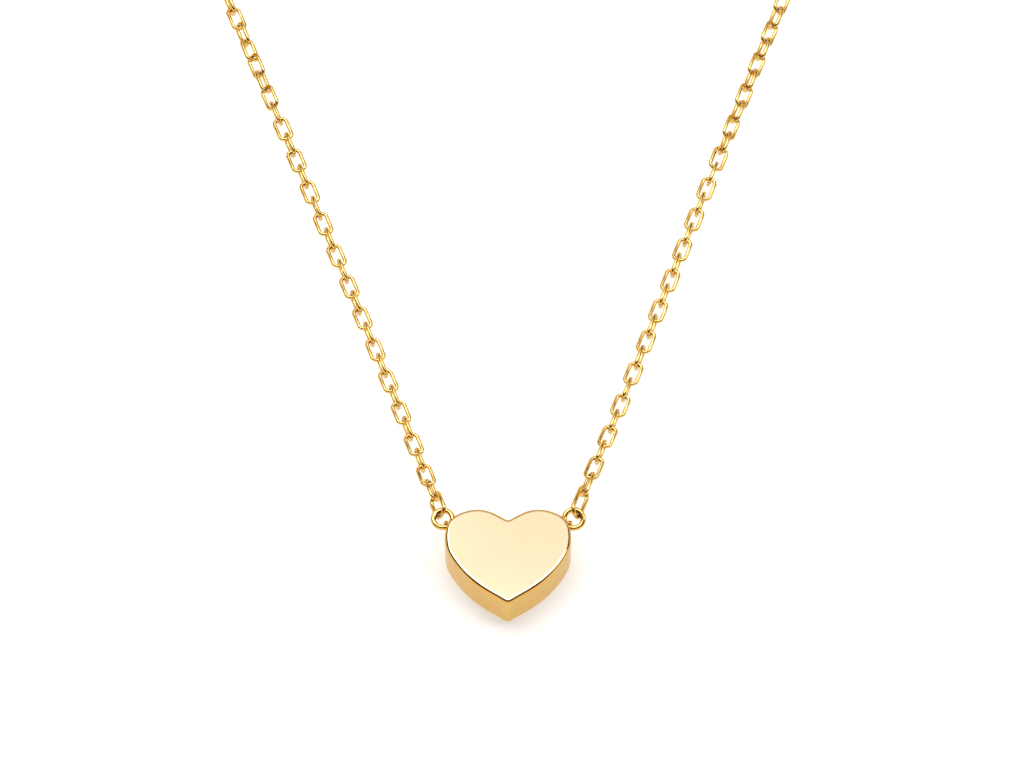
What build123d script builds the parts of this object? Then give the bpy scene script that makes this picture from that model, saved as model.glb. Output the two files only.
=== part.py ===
from build123d import *
import math
import os

# A solid gold heart on a fine cable chain, lying as a necklace lies on a flat surface.
# The heart rests on its flat back with its tip towards -Y, and the chain lies away from it
# towards +Y as a long loop that closes at a plain clasp. All lengths are millimetres.
# The origin is the middle of the heart's back, on the surface that it rests on.

# The heart, a flat plate with upright walls.
heart_width = 8.1
heart_height = 7.06
heart_depth = 2.58
heart_edge_radius = 0.14
tip_radius = 0.6
notch_radius = 0.3

# The ear at each shoulder of the heart, a small closed loop of wire soldered to the wall.
ear_wire = 0.2
ear_share = 0.67
ear_level = heart_depth / 2
solder_depth = 0.04

# The jump ring in each ear. The tilt raises its far side, and the lean is the way from the ear
# to the middle of the ring, seen in the ring's plane. Both are degrees.
ring_diameter = 1.5
ring_wire = 0.32
ring_clearance = 0.08
left_ring_tilt = 4.0
right_ring_tilt = 16.0
ring_lean = 55.7

# The chain, as a tube of the width of its links.
chain_width = 1.06
chain_gap = 0.1
floor_gap = 0.005

# The clasp, a plain closed ring with an eye on each side for the ends of the chain.
clasp_diameter = 5.4
clasp_wire = 1.06
clasp_y = 166.6

# Half of the heart's outline, from the tip up the flank, round the lobe and down to the notch.
# Columns: share of half the width, share of the height.
half_outline = [
    (0.000, 0.000),
    (0.395, 0.160),
    (0.672, 0.306),
    (0.872, 0.463),
    (0.973, 0.585),
    (1.000, 0.725),
    (0.923, 0.888),
    (0.706, 0.975),
    (0.459, 1.000),
    (0.267, 0.973),
    (0.000, 0.885),
]
tip_slope = 35.2
notch_slope = 30.0

# The route of each side of the chain after its first point, which stands at the jump ring,
# up to the clasp, where it ends. It comes down from the ring to the surface, runs up the long
# straight side and goes round the far end.
chain_z = chain_width / 2 + floor_gap
chain_routes = {
    "left": [
        (-5.29, 7.08, 0.75),
        (-6.45, 10.56, chain_z),
        (-8.56, 16.52, chain_z),
        (-12.88, 28.45, chain_z),
        (-19.77, 47.06, chain_z),
        (-27.3, 68.0, chain_z),
        (-36.5, 92.8, chain_z),
        (-46.3, 118.9, chain_z),
        (-45.2, 137.3, chain_z),
        (-36.0, 153.4, chain_z),
        (-22.9, 163.0, chain_z),
        (-10.2, clasp_y, chain_z),
    ],
    "right": [
        (5.40, 7.08, 0.75),
        (6.64, 10.56, chain_z),
        (8.72, 16.52, chain_z),
        (12.80, 28.45, chain_z),
        (19.38, 47.06, chain_z),
        (26.7, 68.0, chain_z),
        (35.5, 92.8, chain_z),
        (45.8, 120.0, chain_z),
        (44.6, 138.1, chain_z),
        (35.5, 153.8, chain_z),
        (22.6, 163.1, chain_z),
        (10.1, clasp_y, chain_z),
    ],
}
arc_share = 0.45

side_sign = {"left": -1, "right": 1}
ring_tilt = {"left": left_ring_tilt, "right": right_ring_tilt}
tip_y = -heart_height / 2
clasp_z = clasp_wire / 2 + floor_gap
hole_radius = ring_wire / 2 + ring_clearance
ear_radius = hole_radius + ear_wire / 2
ear_reach = hole_radius - solder_depth
ring_reach = hole_radius - solder_depth / 2
ring_radius = (ring_diameter - ring_wire) / 2


def direction(degrees):
    return Vector(math.cos(math.radians(degrees)), math.sin(math.radians(degrees)))


os.makedirs("parts", exist_ok=True)

# The heart with its two ears, one solid.
with BuildPart() as heart:
    with BuildSketch(Plane.XY):
        with BuildLine():
            lobe = Spline(
                *[(x * heart_width / 2, tip_y + y * heart_height) for x, y in half_outline],
                tangents=[direction(tip_slope), direction(180 + notch_slope)],
            )
            mirror(about=Plane.YZ)
        make_face()
    extrude(amount=heart_depth)
    upright = heart.edges().filter_by(Axis.Z)
    fillet(upright.sort_by(Axis.Y)[0], radius=tip_radius)
    fillet(heart.edges().filter_by(Axis.Z).filter_by_position(Axis.X, -0.01, 0.01), radius=notch_radius)
    rims = heart.faces().filter_by(Plane.XY).edges()
    fillet(rims, radius=heart_edge_radius)
    ear_feet = {}
    for side, sign in side_sign.items():
        wall = lobe @ ear_share
        along = lobe % ear_share
        outward = Vector(sign * along.Y, -along.X, 0)
        foot = Vector(sign * wall.X, wall.Y, ear_level)
        ear_feet[side] = (foot, outward)
        ear_plane = Plane(
            origin=foot + outward * ear_reach, x_dir=outward, z_dir=outward.cross(Vector(0, 0, 1))
        )
        with Locations(ear_plane):
            Torus(ear_radius, ear_wire / 2)
heart.part.label = "heart"

# A jump ring through each ear, leaning towards its side of the chain.
ring_middles = {}
rings = {}
for side, sign in side_sign.items():
    foot, outward = ear_feet[side]
    tilt = math.radians(ring_tilt[side])
    across = Vector(sign, 0, 0)
    uphill = Vector(0, math.cos(tilt), math.sin(tilt))
    lean = across * direction(ring_lean).X + uphill * direction(ring_lean).Y
    ring_middles[side] = foot + outward * ring_reach + lean * ring_radius
    ring_plane = Plane(origin=ring_middles[side], x_dir=across, z_dir=across.cross(uphill) * sign)
    with BuildPart(ring_plane) as ring:
        Torus(ring_radius, ring_wire / 2)
    ring.part.label = f"jump_ring_{side}"
    rings[side] = ring

# The clasp.
with BuildPart(Plane(origin=(0, clasp_y, clasp_z))) as clasp:
    Torus((clasp_diameter - clasp_wire) / 2, clasp_wire / 2)
    for sign in side_sign.values():
        eye_middle = (sign * (clasp_diameter / 2 + ear_reach), 0, 0)
        with Locations(Plane(origin=eye_middle, x_dir=(sign, 0, 0), z_dir=(0, 1, 0))):
            Torus(ear_radius, ear_wire / 2)
clasp.part.label = "clasp"

# Each side of the chain, a round tube along straight runs joined by large arcs.
chain_end_x = clasp_diameter / 2 + ear_reach + ear_radius + ear_wire / 2 + chain_gap
chains = {}
for side, sign in side_sign.items():
    first_turn = Vector(*chain_routes[side][0])
    leaving = (first_turn - ring_middles[side]).normalized()
    start = ring_middles[side] + leaving * (ring_diameter / 2 + chain_gap)
    end = Vector(sign * chain_end_x, clasp_y, clasp_z)
    points = [start, *[Vector(*p) for p in chain_routes[side]], end]
    radii = []
    for before, corner, after in zip(points, points[1:], points[2:]):
        turn = (corner - before).get_angle(after - corner)
        shorter = min((corner - before).length, (after - corner).length)
        radii.append(arc_share * shorter / math.tan(math.radians(turn / 2)))
    with BuildPart() as chain:
        with BuildLine() as chain_line:
            FilletPolyline(*points, radius=radii)
        path = chain_line.wires()[0]
        with BuildSketch(Plane(origin=path @ 0, z_dir=path % 0)):
            Circle(chain_width / 2)
        sweep(path=path)
    chain.part.label = f"chain_{side}"
    chains[side] = chain
    section = math.pi * chain_width**2 / 4
    print(f"chain_{side} length {path.length:.1f} volume share {chain.part.volume / section / path.length:.5f}")
    print("  radii", " ".join(f"{r:.1f}" for r in radii))

export_step(heart.part, "parts/heart.step")
export_step(clasp.part, "parts/clasp.step")
for side in side_sign:
    export_step(rings[side].part, f"parts/jump_ring_{side}.step")
    export_step(chains[side].part, f"parts/chain_{side}.step")
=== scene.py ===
import math
import random

import bpy
import numpy as np
from mathutils import Matrix, Vector


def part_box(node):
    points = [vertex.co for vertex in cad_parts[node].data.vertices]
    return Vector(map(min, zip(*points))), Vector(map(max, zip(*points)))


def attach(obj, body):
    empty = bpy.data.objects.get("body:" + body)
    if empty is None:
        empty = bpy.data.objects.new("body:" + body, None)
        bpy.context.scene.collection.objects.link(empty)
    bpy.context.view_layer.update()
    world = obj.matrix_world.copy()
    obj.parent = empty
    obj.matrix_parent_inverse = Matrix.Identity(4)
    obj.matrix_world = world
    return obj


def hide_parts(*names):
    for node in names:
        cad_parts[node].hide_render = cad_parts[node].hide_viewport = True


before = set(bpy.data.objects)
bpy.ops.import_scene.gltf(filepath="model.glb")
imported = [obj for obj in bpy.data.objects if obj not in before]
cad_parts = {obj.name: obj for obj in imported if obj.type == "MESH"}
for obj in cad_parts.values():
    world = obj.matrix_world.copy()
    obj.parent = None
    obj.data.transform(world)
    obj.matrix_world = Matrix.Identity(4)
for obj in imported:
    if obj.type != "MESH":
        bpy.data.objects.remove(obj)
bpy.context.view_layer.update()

bl_info = {
    "name": "Heart Necklace",
    "version": (1, 0, 0),
    "blender": (4, 5, 0),
    "location": "3D View > Sidebar > Necklace",
    "description": "A polished gold heart on a fine cable chain, lying as a closed loop",
    "category": "Add Mesh",
}

MM = 0.001
UP = Vector((0, 0, 1))
SIDES = {"left": -1, "right": 1}
# Least Z of the normal of a face that counts as flat.
FLAT = 0.9

# Half of the heart's outline, from the tip up the flank, round the lobe and down to the notch. The
# tip is drawn in a little, because it is sharper than the solid's and has to stay in the solid's box.
# Columns: share of half the width, share of the height.
HALF_OUTLINE = [
    (0.000, 0.005),
    (0.395, 0.160),
    (0.672, 0.306),
    (0.872, 0.463),
    (0.973, 0.585),
    (1.000, 0.725),
    (0.923, 0.888),
    (0.706, 0.975),
    (0.459, 1.000),
    (0.267, 0.973),
    (0.000, 0.885),
]
TIP_SLOPE = math.radians(35.2)
NOTCH_SLOPE = math.radians(30.0)

# How far the surface has turned where the radius above the bevel meets the one next to the face.
BEVEL_TURN = math.radians(76)

# The route of each side of the chain after its first point, which stands at the jump ring, up to
# the clasp, in metres.
CHAIN_Z = 0.535 * MM
CHAIN_ROUTES = {
    "left": [
        (-0.00529, 0.00708, 0.00075),
        (-0.00645, 0.01056, CHAIN_Z),
        (-0.00856, 0.01652, CHAIN_Z),
        (-0.01288, 0.02845, CHAIN_Z),
        (-0.01977, 0.04706, CHAIN_Z),
        (-0.0273, 0.0680, CHAIN_Z),
        (-0.0365, 0.0928, CHAIN_Z),
        (-0.0463, 0.1189, CHAIN_Z),
        (-0.0452, 0.1373, CHAIN_Z),
        (-0.0360, 0.1534, CHAIN_Z),
        (-0.0229, 0.1630, CHAIN_Z),
        (-0.0102, 0.1666, CHAIN_Z),
    ],
    "right": [
        (0.00540, 0.00708, 0.00105),
        (0.00664, 0.01056, 0.00062),
        (0.00872, 0.01652, CHAIN_Z),
        (0.01280, 0.02845, CHAIN_Z),
        (0.01938, 0.04706, CHAIN_Z),
        (0.0267, 0.0680, CHAIN_Z),
        (0.0355, 0.0928, CHAIN_Z),
        (0.0458, 0.1200, CHAIN_Z),
        (0.0446, 0.1381, CHAIN_Z),
        (0.0355, 0.1538, CHAIN_Z),
        (0.0226, 0.1631, CHAIN_Z),
        (0.0101, 0.1666, CHAIN_Z),
    ],
}

# How far apart the links hang, from the jump ring on. Columns: link number, spacing in metres up
# to the next row's link. The links past the last row share out the rest of the chain evenly.
LINK_SPACING = {
    "left": [(1, 1.318 * MM), (2, 1.27 * MM), (7, 1.245 * MM), (17, 1.265 * MM), (40, 1.242 * MM)],
    "right": [
        (1, 1.523 * MM),
        (2, 1.382 * MM),
        (3, 1.338 * MM),
        (4, 1.299 * MM),
        (5, 1.27 * MM),
        (11, 1.208 * MM),
        (23, 1.25 * MM),
        (40, 1.22 * MM),
    ],
}

# How far each chain is twisted about its own line. Columns: link number, degrees.
CHAIN_TWIST = {
    "left": [
        (3, 0),
        (25, 0),
        (27, 44),
        (29, 46),
        (31, 72),
        (33, 82),
        (45, 90),
        (90, 90),
        (120, 45),
        (157, 0),
    ],
    "right": [(3, 0), (21, 0), (25, 40), (33, 43), (52, 0), (90, 0), (120, 40), (158, 90)],
}

# Every other link stands up beside its neighbours, and each is rolled a little by chance. Degrees.
STANDING_ROLL = 89
CHANCE_ROLL = 4
CHANCE_SEED = 7

# Gap between each end of the chain's line and the jump ring or the clasp's eye.
CHAIN_GAP = 0.1 * MM
# How far the middle of the last link's wire lies inside the outer edge of the clasp's eye.
EYE_REACH = 0.35 * MM
# How far the first link's wire stays clear of the jump ring's.
RING_PLAY = 0.04 * MM

# The link in the jump ring and its neighbour each have their own roll in degrees.
FIRST_ROLLS = {"left": {1: 58, 2: -60}, "right": {1: 61, 2: -60}}
# The links next to the jump ring are larger than the rest, and the first is then stretched further
# until it holds the ring. Columns: share of the length, of the width and of the height.
FIRST_LINKS = {
    "left": [(1.06, 1.24, 1.05)],
    "right": [(1.28, 1.24, 1.05), (1.10, 1, 1), (1.06, 1, 1), (1.03, 1, 1)],
}

# The rings' tilt raises their far side. Their lean is the way from the ear to the ring's middle.
RING_TILT = {"left": math.radians(4.0), "right": math.radians(16.0)}
RING_LEAN = {"left": math.radians(52.0), "right": math.radians(47.0)}
# The solid rings' wire and lean, which say where the wire passes each ear.
SOLID_RING_WIRE = 0.32 * MM
SOLID_RING_LEAN = math.radians(55.7)

# Power of an area light in watts for each square metre and each unit of its radiance.
WATTS_FOR_RADIANCE = 4


def middle(node):
    low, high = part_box(node)
    return (low + high) / 2


# Sizes and colours that a user may change.


class HeartSizes(bpy.types.PropertyGroup):
    width: bpy.props.FloatProperty(
        name="Width",
        description="Width of the heart across its lobes",
        default=8.1 * MM,
        unit="LENGTH",
    )
    height: bpy.props.FloatProperty(
        name="Height",
        description="Height of the outline from the tip to the lobes",
        default=7.06 * MM,
        unit="LENGTH",
    )
    edge: bpy.props.FloatProperty(
        name="Edge",
        description="Height of the lower edge's rounding",
        default=0.14 * MM,
        unit="LENGTH",
    )
    bevel_foot: bpy.props.FloatProperty(
        name="Bevel foot",
        description="Radius between the wall and the polished bevel",
        default=0.05 * MM,
        unit="LENGTH",
    )
    bevel_width: bpy.props.FloatProperty(
        name="Bevel width",
        description="Width of the polished bevel round the face",
        default=0.05 * MM,
        unit="LENGTH",
    )
    bevel_lean: bpy.props.FloatProperty(
        name="Bevel lean",
        description="How far the bevel leans in from the wall",
        default=math.radians(33),
        subtype="ANGLE",
    )
    bevel_round: bpy.props.FloatProperty(
        name="Bevel round",
        description="Radius above the bevel",
        default=0.24 * MM,
        unit="LENGTH",
    )
    bevel_top: bpy.props.FloatProperty(
        name="Bevel top",
        description="Radius next to the face",
        default=0.24 * MM,
        unit="LENGTH",
    )
    tip_radius: bpy.props.FloatProperty(
        name="Tip radius",
        description="Rounding of the upright edge at the tip",
        default=0.45 * MM,
        unit="LENGTH",
    )
    notch_radius: bpy.props.FloatProperty(
        name="Notch radius",
        description="Rounding of the notch between the lobes",
        default=0.3 * MM,
        unit="LENGTH",
    )
    ear_share: bpy.props.FloatProperty(
        name="Ear place",
        description="Share of the outline from tip to notch where the ear stands",
        default=0.67,
    )
    ear_wire: bpy.props.FloatProperty(
        name="Ear wire",
        description="Diameter of the wire of each ear",
        default=0.2 * MM,
        unit="LENGTH",
    )
    ear_radius: bpy.props.FloatProperty(
        name="Ear radius",
        description="Radius of each ear at the middle of its wire",
        default=0.34 * MM,
        unit="LENGTH",
    )
    ear_reach: bpy.props.FloatProperty(
        name="Ear reach",
        description="Distance from the wall to the ear's middle",
        default=0.20 * MM,
        unit="LENGTH",
    )


class ChainSizes(bpy.types.PropertyGroup):
    ring_diameter: bpy.props.FloatProperty(
        name="Ring diameter",
        description="Outer diameter of a jump ring",
        default=1.58 * MM,
        unit="LENGTH",
    )
    ring_wire: bpy.props.FloatProperty(
        name="Ring wire",
        description="Diameter of a jump ring's wire",
        default=0.355 * MM,
        unit="LENGTH",
    )
    link_length: bpy.props.FloatProperty(
        name="Link length",
        description="Outer length of a link",
        default=1.80 * MM,
        unit="LENGTH",
    )
    link_width: bpy.props.FloatProperty(
        name="Link width",
        description="Outer width of a link",
        default=1.06 * MM,
        unit="LENGTH",
    )
    link_wire: bpy.props.FloatProperty(
        name="Link wire",
        description="Diameter of a link's wire",
        default=0.26 * MM,
        unit="LENGTH",
    )
    link_corner: bpy.props.FloatProperty(
        name="Link corner",
        description="Radius of a link's corners at the wire's middle",
        default=0.34 * MM,
        unit="LENGTH",
    )
    clasp_wire: bpy.props.FloatProperty(
        name="Clasp wire",
        description="Thickness of the clasp's ring",
        default=1.06 * MM,
        unit="LENGTH",
    )
    clasp_diameter: bpy.props.FloatProperty(
        name="Clasp diameter",
        description="Outer diameter of the clasp's ring",
        default=5.4 * MM,
        unit="LENGTH",
    )


class GoldColours(bpy.types.PropertyGroup):
    # Painted light: the face's gold is paler than the wall's, standing for the bright reflection on the
    # face.
    face: bpy.props.FloatVectorProperty(
        name="Face",
        description="Colour of the heart's lit face",
        default=(0.97, 0.80, 0.525),
        size=3,
        min=0,
        max=1,
        subtype="COLOR",
    )
    wall: bpy.props.FloatVectorProperty(
        name="Wall",
        description="Colour of the heart's wall and edges",
        default=(0.95, 0.60, 0.20),
        size=3,
        min=0,
        max=1,
        subtype="COLOR",
    )
    chain: bpy.props.FloatVectorProperty(
        name="Chain",
        description="Colour of the links, the rings and the clasp",
        default=(0.98, 0.645, 0.175),
        size=3,
        min=0,
        max=1,
        subtype="COLOR",
    )


class StudioSizes(bpy.types.PropertyGroup):
    elevation: bpy.props.FloatProperty(
        name="Camera elevation",
        description="Height of the camera above the horizon",
        default=math.radians(60),
        subtype="ANGLE",
    )
    distance: bpy.props.FloatProperty(
        name="Camera distance",
        description="Distance of the camera from what it looks at",
        default=2.0,
        unit="LENGTH",
    )
    view_width: bpy.props.FloatProperty(
        name="View width",
        description="Width of the table that the picture shows",
        default=66.06 * MM,
        unit="LENGTH",
    )
    target: bpy.props.FloatVectorProperty(
        name="Target",
        description="Point that the camera looks at",
        default=(0.258 * MM, 13.955 * MM, 0.53 * MM),
        size=3,
        subtype="TRANSLATION",
        unit="LENGTH",
    )


# Small helpers for modelling.


def start_piece():
    """Deselects everything, so that the next operator acts on the new piece alone."""
    if bpy.context.object and bpy.context.object.mode != "OBJECT":
        bpy.ops.object.mode_set(mode="OBJECT")
    bpy.ops.object.select_all(action="DESELECT")


def make_active(piece):
    start_piece()
    piece.select_set(True)
    bpy.context.view_layer.objects.active = piece


def select_faces(piece, wanted):
    """Leaves the piece in edit mode, with just the faces selected that wanted(centre, normal) takes."""
    bpy.ops.object.mode_set(mode="EDIT")
    bpy.ops.mesh.select_mode(type="FACE")
    bpy.ops.mesh.select_all(action="DESELECT")
    bpy.ops.object.mode_set(mode="OBJECT")
    for face in piece.data.polygons:
        face.select = wanted(face.center, face.normal)
    bpy.ops.object.mode_set(mode="EDIT")


def select_points(piece, wanted):
    """Leaves the piece in edit mode, with just the vertices selected that wanted(place) takes."""
    bpy.ops.object.mode_set(mode="EDIT")
    bpy.ops.mesh.select_mode(type="VERT")
    bpy.ops.mesh.select_all(action="DESELECT")
    bpy.ops.object.mode_set(mode="OBJECT")
    for point in piece.data.vertices:
        point.select = wanted(point.co)
    bpy.ops.object.mode_set(mode="EDIT")


def finish_mesh(piece, name, smooth_angle=math.radians(35)):
    """Applies the piece's place, turns its faces outwards, smooths it and names it."""
    make_active(piece)
    bpy.ops.object.transform_apply(location=True, rotation=True, scale=True)
    bpy.ops.object.mode_set(mode="EDIT")
    bpy.ops.mesh.select_all(action="SELECT")
    bpy.ops.mesh.normals_make_consistent(inside=False)
    bpy.ops.object.mode_set(mode="OBJECT")
    bpy.ops.object.shade_smooth_by_angle(angle=smooth_angle)
    piece.name = name
    piece.data.name = name


def weld(piece, *others):
    """Joins the other pieces to the piece as one closed skin, as solder does."""
    for other in others:
        make_active(piece)
        cut = piece.modifiers.new("solder", "BOOLEAN")
        cut.operation = "UNION"
        cut.solver = "EXACT"
        cut.object = other
        bpy.ops.object.modifier_apply(modifier=cut.name)
        bpy.data.objects.remove(other)


def wire_ring(radius, wire, place, axis_matrix, steps, sides):
    """A ring of round wire, added at its place."""
    start_piece()
    bpy.ops.mesh.primitive_torus_add(
        major_segments=steps,
        minor_segments=sides,
        major_radius=radius,
        minor_radius=wire / 2,
        location=place,
        rotation=axis_matrix.to_euler(),
    )
    return bpy.context.object


def facing(x_axis, z_axis):
    """Rotation with its local X and Z along the two given directions."""
    x = x_axis.normalized()
    z = z_axis.normalized()
    return Matrix((x, z.cross(x), z)).transposed()


# Materials. One node group holds what the finishes share.


def node_group(name, inputs, outputs):
    group = bpy.data.node_groups.new(name, "ShaderNodeTree")
    for label, kind, default in inputs:
        socket = group.interface.new_socket(label, in_out="INPUT", socket_type=kind)
        socket.default_value = default
    for label, kind in outputs:
        group.interface.new_socket(label, in_out="OUTPUT", socket_type=kind)
    return group


def polish_group():
    """Gold as it comes from the polishing wheel: a faint drift of colour, fine hairlines that change
    the gloss, and painted shade where two pieces almost meet, found by ambient occlusion.
    It puts out the colour, the roughness and the height of the surface."""
    group = node_group(
        "polished_gold",
        [
            ("Colour", "NodeSocketColor", (0.9, 0.6, 0.2, 1)),
            ("Deep colour", "NodeSocketColor", (0.8, 0.5, 0.15, 1)),
            ("Gloss", "NodeSocketFloat", 0.1),
            ("Hairlines", "NodeSocketFloat", 0.05),
            ("Waves", "NodeSocketFloat", 1.0),
            ("Crown", "NodeSocketFloat", 0.0),
            ("Seat shade colour", "NodeSocketColor", (0.3, 0.13, 0.03, 1)),
            ("Seat reach", "NodeSocketFloat", 0.00018),
        ],
        [
            ("Colour", "NodeSocketColor"),
            ("Roughness", "NodeSocketFloat"),
            ("Height", "NodeSocketFloat"),
        ],
    )
    nodes = group.nodes
    links = group.links
    taken = nodes.new("NodeGroupInput")
    given = nodes.new("NodeGroupOutput")
    place = nodes.new("ShaderNodeTexCoord")

    drift = nodes.new("ShaderNodeTexNoise")
    drift.inputs["Scale"].default_value = 420
    drift.inputs["Detail"].default_value = 2
    links.new(place.outputs["Object"], drift.inputs["Vector"])
    drift_span = nodes.new("ShaderNodeMapRange")
    drift_span.inputs["From Min"].default_value = 0.35
    drift_span.inputs["From Max"].default_value = 0.75
    links.new(drift.outputs["Fac"], drift_span.inputs["Value"])
    blend = nodes.new("ShaderNodeMix")
    blend.data_type = "RGBA"
    links.new(drift_span.outputs["Result"], blend.inputs["Factor"])
    links.new(taken.outputs["Colour"], blend.inputs["A"])
    links.new(taken.outputs["Deep colour"], blend.inputs["B"])
    # Painted shade: ambient occlusion darkens the colour towards the seat colour where another piece is
    # close, in the seats between links and rings.
    seat = nodes.new("ShaderNodeAmbientOcclusion")
    seat.samples = 6
    links.new(taken.outputs["Seat reach"], seat.inputs["Distance"])
    seat_span = nodes.new("ShaderNodeMapRange")
    seat_span.inputs["From Min"].default_value = 0.34
    seat_span.inputs["From Max"].default_value = 0.75
    links.new(seat.outputs["AO"], seat_span.inputs["Value"])
    seat_shading = nodes.new("ShaderNodeMix")
    seat_shading.data_type = "RGBA"
    links.new(seat_span.outputs["Result"], seat_shading.inputs["Factor"])
    links.new(taken.outputs["Seat shade colour"], seat_shading.inputs["A"])
    links.new(blend.outputs["Result"], seat_shading.inputs["B"])
    links.new(seat_shading.outputs["Result"], given.inputs["Colour"])

    stretch = nodes.new("ShaderNodeMapping")
    stretch.inputs["Rotation"].default_value = (0.1, 0.2, 0.5)
    stretch.inputs["Scale"].default_value = (1200, 26000, 9000)
    links.new(place.outputs["Object"], stretch.inputs["Vector"])
    lines = nodes.new("ShaderNodeTexNoise")
    lines.inputs["Scale"].default_value = 1
    lines.inputs["Detail"].default_value = 3
    links.new(stretch.outputs["Vector"], lines.inputs["Vector"])
    line_span = nodes.new("ShaderNodeMapRange")
    line_span.inputs["From Min"].default_value = 0.5
    line_span.inputs["From Max"].default_value = 0.8
    links.new(lines.outputs["Fac"], line_span.inputs["Value"])
    rougher = nodes.new("ShaderNodeMath")
    rougher.operation = "MULTIPLY_ADD"
    links.new(line_span.outputs["Result"], rougher.inputs[0])
    links.new(taken.outputs["Hairlines"], rougher.inputs[1])
    links.new(taken.outputs["Gloss"], rougher.inputs[2])
    links.new(rougher.outputs["Value"], given.inputs["Roughness"])

    waves = nodes.new("ShaderNodeTexNoise")
    waves.inputs["Scale"].default_value = 700
    waves.inputs["Detail"].default_value = 1
    links.new(place.outputs["Object"], waves.inputs["Vector"])
    reach = nodes.new("ShaderNodeVectorMath")
    reach.operation = "DOT_PRODUCT"
    links.new(place.outputs["Object"], reach.inputs[0])
    links.new(place.outputs["Object"], reach.inputs[1])
    crown = nodes.new("ShaderNodeMath")
    crown.operation = "MULTIPLY"
    links.new(reach.outputs["Value"], crown.inputs[0])
    links.new(taken.outputs["Crown"], crown.inputs[1])
    swell = nodes.new("ShaderNodeMath")
    swell.operation = "MULTIPLY_ADD"
    links.new(waves.outputs["Fac"], swell.inputs[0])
    links.new(taken.outputs["Waves"], swell.inputs[1])
    links.new(crown.outputs["Value"], swell.inputs[2])
    links.new(swell.outputs["Value"], given.inputs["Height"])
    return group


def gold(name, group, colour, deep, gloss, hairlines, waves, crown, edge, coat, seat):
    """A gold finish made with the polish group."""
    material = bpy.data.materials.new(name)
    material.use_nodes = True
    nodes = material.node_tree.nodes
    links = material.node_tree.links
    shader = nodes["Principled BSDF"]
    shader.inputs["Metallic"].default_value = 1.0
    shader.inputs["Specular Tint"].default_value = (*edge, 1)
    shader.inputs["Coat Weight"].default_value = coat
    shader.inputs["Coat Roughness"].default_value = 0.03
    polish = nodes.new("ShaderNodeGroup")
    polish.node_tree = group
    polish.inputs["Colour"].default_value = (*colour, 1)
    polish.inputs["Deep colour"].default_value = (*deep, 1)
    polish.inputs["Gloss"].default_value = gloss
    polish.inputs["Hairlines"].default_value = hairlines
    polish.inputs["Waves"].default_value = waves
    polish.inputs["Crown"].default_value = crown
    polish.inputs["Seat shade colour"].default_value = (*seat, 1)
    links.new(polish.outputs["Colour"], shader.inputs["Base Color"])
    links.new(polish.outputs["Roughness"], shader.inputs["Roughness"])
    bump = nodes.new("ShaderNodeBump")
    bump.inputs["Strength"].default_value = 1.0
    bump.inputs["Distance"].default_value = 1e-6
    links.new(polish.outputs["Height"], bump.inputs["Height"])
    links.new(bump.outputs["Normal"], shader.inputs["Normal"])
    return material


def finish(name):
    """The material of that name, made the first time that a piece asks for it."""
    if name in bpy.data.materials:
        return bpy.data.materials[name]
    colours = bpy.context.scene.necklace_gold
    group = bpy.data.node_groups.get("polished_gold") or polish_group()

    def deeper(colour, share):
        return tuple(channel * share for channel in colour)

    pale_edge = (1, 1, 1)
    warm_edge = (0.97, 0.92, 0.81)
    # Painted shade: the rim's dark colour at a flat angle darkens the line round the heart's face.
    rim_shade_edge = (0.20, 0.08, 0.0)
    amber_edge = (0.90, 0.58, 0.20)
    # Painted shade for the seats between links and rings, where they almost meet.
    painted_seat_shade = (0.10, 0.035, 0.004)
    # Columns: colour, share of it that the deep colour has, gloss, hairlines, waves, crown, colour
    # at a flat angle, coat, colour painted as shade where two pieces almost meet.
    kinds = {
        # The face's paler gold is painted light: a lit copy of the wall's gold.
        "heart_face_lit_gold": (colours.face, 0.98, 0.12, 0.02, 0.6, -4e6, pale_edge, 0, colours.face),
        "heart_wall_gold": (colours.wall, 0.95, 0.10, 0.06, 0.5, 0, warm_edge, 0, colours.wall),
        # The rim's gold is the wall's with a dark colour at a flat angle: painted shade for the dark
        # line round the face.
        "heart_rim_shaded_gold": (colours.wall, 0.95, 0.10, 0.06, 0.5, 0, rim_shade_edge, 0, colours.wall),
        "link_gold": (colours.chain, 0.92, 0.17, 0.08, 0.3, 0, amber_edge, 1, painted_seat_shade),
        "ring_gold": (colours.chain, 0.95, 0.11, 0.05, 0.3, 0, amber_edge, 1, painted_seat_shade),
    }
    colour, share, *rest = kinds[name]
    return gold(name, group, colour, deeper(colour, share), *rest)


# The heart.


def half_outline(sizes):
    """Points and slopes of the right half of the outline, from the end of the tip's rounding to the
    start of the notch's. The slopes are those of a smooth spline, its knots spaced as the points."""
    tip = Vector((0, -sizes.height / 2, 0))
    points = [tip + Vector((x * sizes.width / 2, y * sizes.height, 0)) for x, y in HALF_OUTLINE]
    leave_tip = Vector((math.cos(TIP_SLOPE), math.sin(TIP_SLOPE), 0))
    reach_notch = Vector((-math.cos(NOTCH_SLOPE), -math.sin(NOTCH_SLOPE), 0))
    points[0] = points[0] + leave_tip * sizes.tip_radius * math.tan(TIP_SLOPE)
    points[-1] = points[-1] - reach_notch * sizes.notch_radius * math.tan(NOTCH_SLOPE)
    spans = [(b - a).length for a, b in zip(points, points[1:])]
    count = len(points)
    weights = np.eye(count)
    known = np.zeros((count, 3))
    known[0] = leave_tip
    known[-1] = reach_notch
    for i in range(1, count - 1):
        before, after = spans[i - 1], spans[i]
        weights[i, i - 1 : i + 2] = after, 2 * (before + after), before
        rise = (points[i] - points[i - 1]) * (after / before)
        known[i] = 3 * (rise + (points[i + 1] - points[i]) * (before / after))
    slopes = [Vector(row) for row in np.linalg.solve(weights, known)]
    return points, slopes, spans


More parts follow.
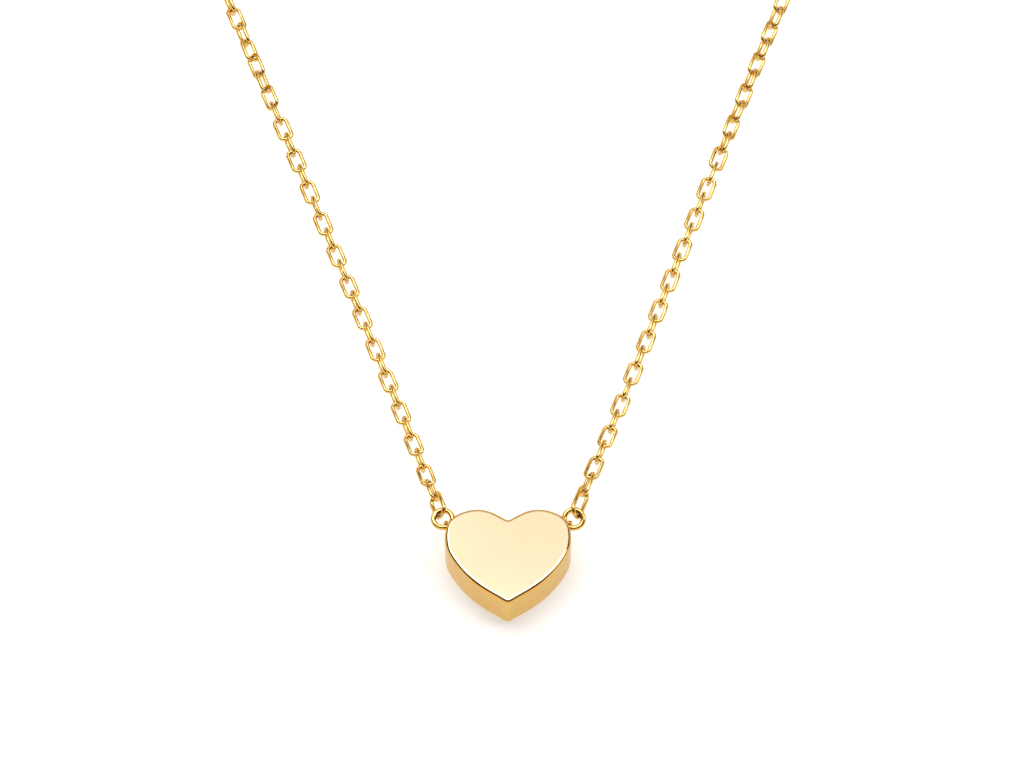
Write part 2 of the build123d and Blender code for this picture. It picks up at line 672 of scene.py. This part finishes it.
def heart_curve(sizes):
    """The closed outline of the heart as a Bezier curve, with true arcs at the tip and the notch."""
    points, slopes, spans = half_outline(sizes)
    tip_handle = 4 / 3 * math.tan(TIP_SLOPE / 2) * sizes.tip_radius
    notch_handle = 4 / 3 * math.tan(NOTCH_SLOPE / 2) * sizes.notch_radius
    before = [tip_handle, *[span / 3 for span in spans]]
    after = [*[span / 3 for span in spans], notch_handle]
    right = []
    for point, slope, back, on in zip(points, slopes, before, after):
        right.append((point, point - slope * back, point + slope * on))
    across = Matrix.Scale(-1, 4, Vector((1, 0, 0)))
    left = [(across @ point, across @ on, across @ back) for point, back, on in reversed(right)]
    start_piece()
    bpy.ops.curve.primitive_bezier_circle_add()
    outline = bpy.context.object
    outline.data.resolution_u = 12
    spline = outline.data.splines[0]
    spline.bezier_points.add(len(right) + len(left) - len(spline.bezier_points))
    for knot, (point, back, on) in zip(spline.bezier_points, right + left):
        knot.handle_left_type = "FREE"
        knot.handle_right_type = "FREE"
        knot.co = point
        knot.handle_left = back
        knot.handle_right = on
    return outline


def arc_steps(radius, start, end, count):
    """Small (inwards, upwards) steps along an arc whose surface turns from the start to the end."""
    turns = [start + (end - start) * i / count for i in range(count + 1)]
    places = [(-radius * math.cos(turn), radius * math.sin(turn)) for turn in turns]
    return [(b[0] - a[0], b[1] - a[1]) for a, b in zip(places, places[1:])]


def bevel_steps(sizes):
    """Steps from the wall over the polished bevel to the face."""
    lean = sizes.bevel_lean
    flat = (sizes.bevel_width * math.sin(lean), sizes.bevel_width * math.cos(lean))
    foot = arc_steps(sizes.bevel_foot, 0, lean, count=4)
    middle_part = arc_steps(sizes.bevel_round, lean, BEVEL_TURN, count=6)
    top = arc_steps(sizes.bevel_top, BEVEL_TURN, math.pi / 2, count=3)
    return [*foot, flat, *middle_part, *top]


def inset_steps(piece, wanted, steps):
    """Insets the wanted faces step by step, each step inwards and upwards."""
    select_faces(piece, wanted)
    for inwards, upwards in steps:
        bpy.ops.mesh.inset(thickness=inwards, depth=upwards, use_even_offset=True)
    bpy.ops.object.mode_set(mode="OBJECT")


def ear_place(sizes, sign):
    """Foot of the ear on the wall and the way out of the wall, found along the spline."""
    points, slopes, spans = half_outline(sizes)
    knots = np.concatenate([[0], np.cumsum(spans)])
    where = sizes.ear_share * knots[-1]
    i = int(np.searchsorted(knots, where)) - 1
    span = spans[i]
    t = (where - knots[i]) / span
    start, end = points[i], points[i + 1]
    leave, reach = slopes[i] * span, slopes[i + 1] * span
    place = (
        start * (2 * t**3 - 3 * t**2 + 1)
        + leave * (t**3 - 2 * t**2 + t)
        + end * (3 * t**2 - 2 * t**3)
        + reach * (t**3 - t**2)
    )
    along = (
        start * (6 * t**2 - 6 * t)
        + leave * (3 * t**2 - 4 * t + 1)
        + end * (6 * t - 6 * t**2)
        + reach * (3 * t**2 - 2 * t)
    )
    along.normalize()
    return Vector((sign * place.x, place.y, 0)), Vector((sign * along.y, -along.x, 0))


class NECKLACE_OT_heart(bpy.types.Operator):
    """Models the heart with its two ears"""

    bl_idname = "necklace.heart"
    bl_label = "Heart"

    def execute(self, context):
        sizes = context.scene.necklace_heart
        low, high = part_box("heart")
        depth = high.z - low.z
        make_active(heart_curve(sizes))
        bpy.ops.object.convert(target="MESH")
        heart = bpy.context.object
        bpy.ops.object.mode_set(mode="EDIT")
        bpy.ops.mesh.select_all(action="SELECT")
        bpy.ops.mesh.remove_doubles(threshold=1e-7)
        bpy.ops.mesh.edge_face_add()
        bpy.ops.transform.translate(value=(0, 0, low.z + sizes.edge))
        top_steps = bevel_steps(sizes)
        base_steps = arc_steps(sizes.edge, 0, math.pi / 2, count=6)
        crown = sum(up for _, up in top_steps)
        wall = depth - crown - sizes.edge
        band = 0.03 * MM
        for rise in (band, wall - 2 * band, band):
            bpy.ops.mesh.extrude_region_move(TRANSFORM_OT_translate={"value": (0, 0, rise)})
        bpy.ops.mesh.select_all(action="SELECT")
        bpy.ops.mesh.normals_make_consistent(inside=False)
        bpy.ops.object.mode_set(mode="OBJECT")
        middle_step = [(band, 0)]
        inset_steps(heart, lambda centre, normal: normal.z > FLAT, top_steps + middle_step)
        inset_steps(heart, lambda centre, normal: normal.z < -FLAT, base_steps + middle_step)
        ears = []
        for sign in SIDES.values():
            foot, outward = ear_place(sizes, sign)
            foot.z = low.z + depth / 2
            turn = facing(outward, outward.cross(UP))
            place = foot + outward * sizes.ear_reach
            ears.append(wire_ring(sizes.ear_radius, sizes.ear_wire, place, turn, steps=32, sides=12))
        for ear in ears:
            make_active(ear)
            bpy.ops.object.transform_apply(location=True, rotation=True, scale=True)
        weld(heart, *ears)
        finish_mesh(heart, "heart_body")
        heart.data.materials.append(finish("heart_wall_gold"))
        rim_foot = high.z - crown
        face_foot = high.z - 0.1 * MM
        places = {
            "heart_rim_shaded_gold": lambda centre, normal: centre.z > rim_foot,
            "heart_face_lit_gold": lambda centre, normal: normal.z > FLAT and centre.z > face_foot,
        }
        for name, wanted in places.items():
            heart.data.materials.append(finish(name))
            select_faces(heart, wanted)
            heart.active_material_index = len(heart.data.materials) - 1
            bpy.ops.object.material_slot_assign()
            bpy.ops.object.mode_set(mode="OBJECT")
        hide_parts("heart")
        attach(heart, "root")
        return {"FINISHED"}


# The jump rings.


def ring_uphill(side):
    """The way up a jump ring's plane, square to X."""
    return Vector((0, math.cos(RING_TILT[side]), math.sin(RING_TILT[side])))


def ring_lean(side, angle):
    """The way in a jump ring's plane that leans from X by the angle."""
    return Vector((SIDES[side] * math.cos(angle), 0, 0)) + ring_uphill(side) * math.sin(angle)


def ring_place(side, sizes):
    """Middle of a jump ring whose wire passes the ear where the solid ring's wire does."""
    low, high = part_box(f"jump_ring_{side}")
    solid_radius = (high.x - low.x - SOLID_RING_WIRE) / 2
    radius = (sizes.ring_diameter - sizes.ring_wire) / 2
    in_ear = (low + high) / 2 - ring_lean(side, SOLID_RING_LEAN) * solid_radius
    return in_ear + ring_lean(side, RING_LEAN[side]) * radius


class NECKLACE_OT_jump_rings(bpy.types.Operator):
    """Models the jump ring at each shoulder of the heart"""

    bl_idname = "necklace.jump_rings"
    bl_label = "Jump rings"

    def execute(self, context):
        sizes = context.scene.necklace_chain
        radius = (sizes.ring_diameter - sizes.ring_wire) / 2
        for side in SIDES:
            node = f"jump_ring_{side}"
            turn = facing(Vector((1, 0, 0)), Vector((1, 0, 0)).cross(ring_uphill(side)))
            place = ring_place(side, sizes)
            ring = wire_ring(radius, sizes.ring_wire, place, turn, steps=72, sides=20)
            finish_mesh(ring, f"ring_{side}")
            ring.data.materials.append(finish("ring_gold"))
            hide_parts(node)
            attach(ring, "root")
        return {"FINISHED"}


# The chains.


def chain_start(side, sizes):
    """The chain's first point, clear of the jump ring on the way to the route's next point."""
    ring = ring_place(side, sizes)
    leaving = (Vector(CHAIN_ROUTES[side][0]) - ring).normalized()
    return ring + leaving * (sizes.ring_diameter / 2 + CHAIN_GAP)


def route_points(side, sizes):
    """The chain's line as close points of one smooth NURBS curve along the route."""
    low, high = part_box("clasp")
    end_x = (high.x - middle("clasp").x) + CHAIN_GAP
    end = Vector((SIDES[side] * end_x, middle("clasp").y, middle("clasp").z))
    points = [chain_start(side, sizes), *[Vector(p) for p in CHAIN_ROUTES[side]], end]
    data = bpy.data.curves.new(f"route_{side}", "CURVE")
    data.dimensions = "3D"
    spline = data.splines.new("NURBS")
    spline.points.add(len(points) - 1)
    for knot, point in zip(spline.points, points):
        knot.co = (*point, 1)
    spline.order_u = 3
    spline.use_endpoint_u = True
    data.resolution_u = 40
    carrier = bpy.data.objects.new(f"route_{side}", data)
    bpy.context.scene.collection.objects.link(carrier)
    bpy.context.view_layer.update()
    seen = carrier.evaluated_get(bpy.context.evaluated_depsgraph_get())
    line = bpy.data.meshes.new_from_object(seen)
    places = [point.co.copy() for point in line.vertices]
    bpy.data.objects.remove(carrier)
    bpy.data.curves.remove(data)
    bpy.data.meshes.remove(line)
    return places


def link_distances(side, length, sizes):
    """Distance of each link's middle along the chain from its first point."""
    reach = (sizes.link_length - sizes.link_wire) / 2
    ring_inside = sizes.ring_diameter / 2 - sizes.ring_wire
    first_reach = (sizes.link_length * FIRST_LINKS[side][0][0] - sizes.link_wire) / 2
    first = ring_inside - sizes.link_wire / 2 + first_reach - (sizes.ring_diameter / 2 + CHAIN_GAP)
    last = length - (reach - EYE_REACH - CHAIN_GAP)
    rows = LINK_SPACING[side]
    distances = [first]
    for (number, spacing), (until, _) in zip(rows, rows[1:]):
        while len(distances) < until:
            distances.append(distances[-1] + spacing)
    rest = last - distances[-1]
    count = math.ceil(rest / rows[-1][1])
    start = distances[-1]
    distances += [start + rest * (i + 1) / count for i in range(count)]
    return distances


def ring_hold(side, sizes, outer):
    """Middle of the first link's wire where it lies inside the jump ring, given its outer end. The
    line between both ends passes through the middle of the ring's wire."""
    ring = ring_place(side, sizes)
    way = outer - ring
    uphill = ring_uphill(side)
    level = Vector((way.x, 0, 0)) + uphill * way.dot(uphill)
    passed = ring + level.normalized() * (sizes.ring_diameter - sizes.ring_wire) / 2
    link_wire = sizes.link_wire * FIRST_LINKS[side][0][0]
    return passed + (passed - outer).normalized() * ((sizes.ring_wire + link_wire) / 2 + RING_PLAY)


def link_roll(side, number, draw):
    """Roll of a link about the chain: how far its inner side is raised, as an angle."""
    if number in FIRST_ROLLS[side]:
        return math.radians(FIRST_ROLLS[side][number])
    rows = CHAIN_TWIST[side]
    twist = np.interp(number, [n for n, _ in rows], [d for _, d in rows])
    standing = 0 if number % 2 else STANDING_ROLL
    return math.radians(twist + standing + draw.uniform(-CHANCE_ROLL, CHANCE_ROLL))


def link_model(sizes):
    """One link: a ring of wire whose four quarters are moved apart."""
    half_step = math.radians(15)
    start_piece()
    bpy.ops.mesh.primitive_torus_add(
        major_segments=12,
        minor_segments=6,
        major_radius=sizes.link_corner,
        minor_radius=sizes.link_wire / 2,
        rotation=(0, 0, half_step),
    )
    link = bpy.context.object
    bpy.ops.object.transform_apply(location=True, rotation=True, scale=True)
    reach = sizes.link_corner * math.cos(half_step)
    along = (sizes.link_length - sizes.link_wire) / 2 - reach
    across = (sizes.link_width - sizes.link_wire) / 2 - reach
    for x, y in ((1, 1), (1, -1), (-1, 1), (-1, -1)):
        select_points(link, lambda place: place.x * x > 0 and place.y * y > 0)
        bpy.ops.transform.translate(value=(x * along, y * across, 0))
        bpy.ops.object.mode_set(mode="OBJECT")
    finish_mesh(link, "link", smooth_angle=math.radians(80))
    return link


def placing_nodes(link):
    """Geometry nodes that set a copy of the link on each point, turned as the point says."""
    group = bpy.data.node_groups.new("links_on_points", "GeometryNodeTree")
    group.interface.new_socket("Geometry", in_out="INPUT", socket_type="NodeSocketGeometry")
    group.interface.new_socket("Geometry", in_out="OUTPUT", socket_type="NodeSocketGeometry")
    nodes = group.nodes
    links = group.links
    taken = nodes.new("NodeGroupInput")
    given = nodes.new("NodeGroupOutput")
    model = nodes.new("GeometryNodeObjectInfo")
    model.inputs["Object"].default_value = link
    turn = nodes.new("GeometryNodeInputNamedAttribute")
    turn.data_type = "FLOAT_VECTOR"
    turn.inputs["Name"].default_value = "turn"
    size = nodes.new("GeometryNodeInputNamedAttribute")
    size.data_type = "FLOAT_VECTOR"
    size.inputs["Name"].default_value = "size"
    copies = nodes.new("GeometryNodeInstanceOnPoints")
    real = nodes.new("GeometryNodeRealizeInstances")
    links.new(taken.outputs[0], copies.inputs["Points"])
    links.new(model.outputs["Geometry"], copies.inputs["Instance"])
    links.new(turn.outputs["Attribute"], copies.inputs["Rotation"])
    links.new(size.outputs["Attribute"], copies.inputs["Scale"])
    links.new(copies.outputs["Instances"], real.inputs["Geometry"])
    links.new(real.outputs["Geometry"], given.inputs[0])
    return group


def chain_points(side, sizes, draw):
    """A mesh of one point for each link, with the link's turn and size as attributes."""
    line = route_points(side, sizes)
    steps = [0, *np.cumsum([(b - a).length for a, b in zip(line, line[1:])])]
    axes = np.array(line)

    def spot(distance):
        return Vector([np.interp(distance, steps, axes[:, i]) for i in range(3)])

    distances = link_distances(side, steps[-1], sizes)
    sizes_of_links = FIRST_LINKS[side] + [(1, 1, 1)] * (len(distances) - len(FIRST_LINKS[side]))
    plain_length = sizes.link_length - sizes.link_wire
    first_length = sizes.link_length * FIRST_LINKS[side][0][0] - sizes.link_wire
    nearby = 0.3 * MM
    places = []
    turns = []
    for number, distance in enumerate(distances, start=1):
        place = spot(distance)
        along = (spot(distance + nearby) - spot(distance - nearby)).normalized()
        if number == 1:
            outer = place + along * first_length / 2
            hold = ring_hold(side, sizes, outer)
            place = (hold + outer) / 2
            along = (outer - hold).normalized()
            sizes_of_links[0] = ((outer - hold).length / plain_length, *sizes_of_links[0][1:])
        inner = along.cross(UP).normalized() * -SIDES[side]
        up = (UP - along * UP.dot(along)).normalized()
        roll = link_roll(side, number, draw)
        width = inner * math.cos(roll) + up * math.sin(roll)
        places.append(place)
        turns.append(facing(along, along.cross(width)).to_euler())
    mesh = bpy.data.meshes.new(f"links_{side}")
    mesh.from_pydata(places, [], [])
    for name, rows in (("turn", turns), ("size", sizes_of_links)):
        attribute = mesh.attributes.new(name, "FLOAT_VECTOR", "POINT")
        attribute.data.foreach_set("vector", np.array(rows, dtype=np.float32).ravel())
    return mesh


class NECKLACE_OT_chains(bpy.types.Operator):
    """Models one link and lays its copies along both sides of the necklace"""

    bl_idname = "necklace.chains"
    bl_label = "Chains"

    def execute(self, context):
        sizes = context.scene.necklace_chain
        link = link_model(sizes)
        placing = placing_nodes(link)
        draw = random.Random(CHANCE_SEED)
        for side in SIDES:
            chain = bpy.data.objects.new(f"links_{side}", chain_points(side, sizes, draw))
            context.scene.collection.objects.link(chain)
            modifier = chain.modifiers.new("links", "NODES")
            modifier.node_group = placing
            make_active(chain)
            bpy.ops.object.modifier_apply(modifier=modifier.name)
            if not chain.data.polygons:
                raise RuntimeError(f"{chain.name} has no links")
            chain.data.materials.clear()
            chain.data.materials.append(finish("link_gold"))
            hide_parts(f"chain_{side}")
            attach(chain, "root")
        bpy.data.objects.remove(link)
        return {"FINISHED"}


# The clasp.


class NECKLACE_OT_clasp(bpy.types.Operator):
    """Models the plain clasp that closes the necklace"""

    bl_idname = "necklace.clasp"
    bl_label = "Clasp"

    def execute(self, context):
        sizes = context.scene.necklace_chain
        heart_sizes = context.scene.necklace_heart
        place = middle("clasp")
        radius = (sizes.clasp_diameter - sizes.clasp_wire) / 2
        level = Matrix.Identity(3)
        clasp = wire_ring(radius, sizes.clasp_wire, place, level, steps=96, sides=24)
        ear_radius = heart_sizes.ear_radius
        ear_wire = heart_sizes.ear_wire
        eyes = []
        for sign in SIDES.values():
            out = Vector((sign, 0, 0))
            eye_place = place + out * (sizes.clasp_diameter / 2 + heart_sizes.ear_reach)
            turn = facing(out, Vector((0, 1, 0)))
            eyes.append(wire_ring(ear_radius, ear_wire, eye_place, turn, steps=32, sides=12))
        weld(clasp, *eyes)
        finish_mesh(clasp, "clasp_ring")
        clasp.data.materials.append(finish("ring_gold"))
        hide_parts("clasp")
        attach(clasp, "root")
        return {"FINISHED"}


# The stage.

WHITE = (1, 1, 1)
# Soft lights round the table, each aimed at the heart. Columns: name, place in metres, width and
# height in metres, radiance, colour.
LIGHTS = [
    ("top_light", (-0.14, 0.30, 1.17), 1.25, 0.40, 2.8, WHITE),
    ("left_light", (-0.38, 0.64, 1.08), 0.40, 0.44, 1.5, WHITE),
    ("left_fill", (-0.32, 0.66, 1.10), 0.56, 0.60, 0.06, WHITE),
    ("right_light", (0.75, 0.12, 0.92), 0.60, 0.40, 2.0, WHITE),
    ("back_light", (0.00, 0.69, 1.10), 1.60, 0.75, 0.66, WHITE),
    ("amber_light", (0.00, 1.25, 0.50), 2.40, 0.50, 0.45, (1.0, 0.68, 0.22)),
]

# The room by height: warm at the horizon, dark brown above it, grey further up and pale overhead.
# Its front is also pale at half height. Columns: sine of the height above the horizon, colour.
HORIZON = [(0.00, (1.05, 0.80, 0.35)), (0.17, (1.00, 0.74, 0.30))]
OVERHEAD = [(0.985, (0.24, 0.24, 0.24)), (0.995, (0.86, 0.76, 0.58))]
BACK_ROOM = [*HORIZON, (0.23, (0.06, 0.035, 0.012)), (0.60, (0.05, 0.032, 0.014)), *OVERHEAD]
FRONT_ROOM = [
    *HORIZON,
    (0.22, (0.75, 0.62, 0.42)),
    (0.46, (0.75, 0.62, 0.42)),
    (0.52, (0.03, 0.02, 0.008)),
    (0.93, (0.05, 0.04, 0.025)),
    *OVERHEAD,
]
# Where the back of the room turns into its front, as Y in the direction that is looked in.
FRONT_SPAN = (-0.45, -0.65)


def add_light(name, place, width, tall, radiance, colour):
    out = Vector(place).normalized()
    start_piece()
    bpy.ops.object.light_add(type="AREA", location=place)
    lamp = bpy.context.object
    lamp.name = name
    lamp.rotation_euler = facing(Vector((0, 1, 0)).cross(out), out).to_euler()
    lamp.data.shape = "RECTANGLE"
    lamp.data.size = width
    lamp.data.size_y = tall
    lamp.data.energy = radiance * WATTS_FOR_RADIANCE * width * tall
    lamp.data.color = colour
    lamp.visible_camera = False


def free_of_shadow(lamp, names):
    """Keeps the thin chains and rings from throwing shadows in the lamp's light."""
    start_piece()
    for name in names:
        bpy.data.objects[name].select_set(True)
    lamp.select_set(True)
    bpy.context.view_layer.objects.active = lamp
    bpy.ops.object.light_linking_blockers_link(link_state="EXCLUDE")


def studio_world():
    """A plain pale room for the camera, and for the metal one that is warm, dark and pale by height."""
    world = bpy.data.worlds.new("studio")
    bpy.context.scene.world = world
    world.use_nodes = True
    nodes = world.node_tree.nodes
    links = world.node_tree.links
    nodes.clear()
    way = nodes.new("ShaderNodeTexCoord")
    parts = nodes.new("ShaderNodeSeparateXYZ")
    links.new(way.outputs["Generated"], parts.inputs["Vector"])
    front = nodes.new("ShaderNodeMapRange")
    front.inputs["From Min"].default_value = FRONT_SPAN[0]
    front.inputs["From Max"].default_value = FRONT_SPAN[1]
    links.new(parts.outputs["Y"], front.inputs["Value"])
    whole = nodes.new("ShaderNodeMix")
    whole.data_type = "RGBA"
    links.new(front.outputs["Result"], whole.inputs["Factor"])
    for rows, socket in ((BACK_ROOM, "A"), (FRONT_ROOM, "B")):
        shade = nodes.new("ShaderNodeValToRGB")
        ramp = shade.color_ramp
        for spare in list(ramp.elements)[1:]:
            ramp.elements.remove(spare)
        ramp.elements[0].position = rows[0][0]
        ramp.elements[0].color = (*rows[0][1], 1)
        for height, colour in rows[1:]:
            ramp.elements.new(height).color = (*colour, 1)
        links.new(parts.outputs["Z"], shade.inputs["Fac"])
        links.new(shade.outputs["Color"], whole.inputs[socket])
    room = nodes.new("ShaderNodeBackground")
    links.new(whole.outputs["Result"], room.inputs["Color"])
    room.inputs["Strength"].default_value = 1.0
    seen = nodes.new("ShaderNodeBackground")
    seen.inputs["Color"].default_value = (0.95, 0.95, 0.95, 1)
    rays = nodes.new("ShaderNodeLightPath")
    either = nodes.new("ShaderNodeMixShader")
    links.new(rays.outputs["Is Camera Ray"], either.inputs["Fac"])
    links.new(room.outputs["Background"], either.inputs[1])
    links.new(seen.outputs["Background"], either.inputs[2])
    out = nodes.new("ShaderNodeOutputWorld")
    links.new(either.outputs["Shader"], out.inputs["Surface"])


def white_paper():
    """White paper, slightly overexposed in the picture and seen by the metal as an even pale sheet."""
    paper = bpy.data.materials.new("white_paper")
    paper.use_nodes = True
    nodes = paper.node_tree.nodes
    links = paper.node_tree.links
    nodes.clear()
    rays = nodes.new("ShaderNodeLightPath")
    either = nodes.new("ShaderNodeMixShader")
    links.new(rays.outputs["Is Camera Ray"], either.inputs["Fac"])
    # The sheet that the metal sees, then the one that the camera sees. Columns: socket, albedo, glow.
    for socket, albedo, glow in ((1, 0.30, 0.64), (2, 0.90, 0.40)):
        sheet = nodes.new("ShaderNodeBsdfPrincipled")
        sheet.inputs["Base Color"].default_value = (albedo, albedo, albedo, 1)
        sheet.inputs["Roughness"].default_value = 1.0
        sheet.inputs["Specular IOR Level"].default_value = 0.0
        sheet.inputs["Emission Color"].default_value = (1, 1, 1, 1)
        sheet.inputs["Emission Strength"].default_value = glow
        links.new(sheet.outputs["BSDF"], either.inputs[socket])
    out = nodes.new("ShaderNodeOutputMaterial")
    links.new(either.outputs["Shader"], out.inputs["Surface"])
    return paper


class NECKLACE_OT_stage(bpy.types.Operator):
    """Sets the camera, the pale table, the soft lights and the room"""

    bl_idname = "necklace.stage"
    bl_label = "Stage"

    def execute(self, context):
        studio = context.scene.necklace_studio
        target = Vector(studio.target)
        back = Vector((0, -math.cos(studio.elevation), math.sin(studio.elevation)))
        start_piece()
        bpy.ops.object.camera_add(location=target + back * studio.distance)
        camera = bpy.context.object
        camera.name = "camera"
        camera.rotation_euler = back.to_track_quat("Z", "Y").to_euler()
        camera.data.lens = camera.data.sensor_width * studio.distance / studio.view_width
        context.scene.camera = camera

        start_piece()
        bpy.ops.mesh.primitive_plane_add(size=4)
        table = bpy.context.object
        table.name = "table"
        table.data.materials.append(white_paper())

        for row in LIGHTS:
            add_light(*row)
        thin = [f"{kind}_{side}" for kind in ("links", "ring") for side in SIDES]
        for name in ("top_light", "left_light", "back_light"):
            free_of_shadow(bpy.data.objects[name], thin)
        studio_world()
        context.scene.view_settings.view_transform = "Standard"
        context.scene.view_settings.look = "None"
        return {"FINISHED"}


class NECKLACE_PT_panel(bpy.types.Panel):
    """Lists the steps that build the necklace"""

    bl_idname = "NECKLACE_PT_panel"
    bl_label = "Heart Necklace"
    bl_space_type = "VIEW_3D"
    bl_region_type = "UI"
    bl_category = "Necklace"

    def draw(self, context):
        for step in STEPS:
            self.layout.operator(step.bl_idname)


STEPS = (
    NECKLACE_OT_heart,
    NECKLACE_OT_jump_rings,
    NECKLACE_OT_chains,
    NECKLACE_OT_clasp,
    NECKLACE_OT_stage,
)
SETTINGS = {
    "necklace_heart": HeartSizes,
    "necklace_chain": ChainSizes,
    "necklace_gold": GoldColours,
    "necklace_studio": StudioSizes,
}


def register():
    for name, group in SETTINGS.items():
        bpy.utils.register_class(group)
        setattr(bpy.types.Scene, name, bpy.props.PointerProperty(type=group))
    for step in STEPS:
        bpy.utils.register_class(step)
    bpy.utils.register_class(NECKLACE_PT_panel)


def unregister():
    bpy.utils.unregister_class(NECKLACE_PT_panel)
    for step in reversed(STEPS):
        bpy.utils.unregister_class(step)
    for name, group in reversed(SETTINGS.items()):
        delattr(bpy.types.Scene, name)
        bpy.utils.unregister_class(group)


def main():
    register()
    bpy.ops.necklace.heart()
    bpy.ops.necklace.jump_rings()
    bpy.ops.necklace.chains()
    bpy.ops.necklace.clasp()
    bpy.ops.necklace.stage()


if __name__ == "__main__":
    main()
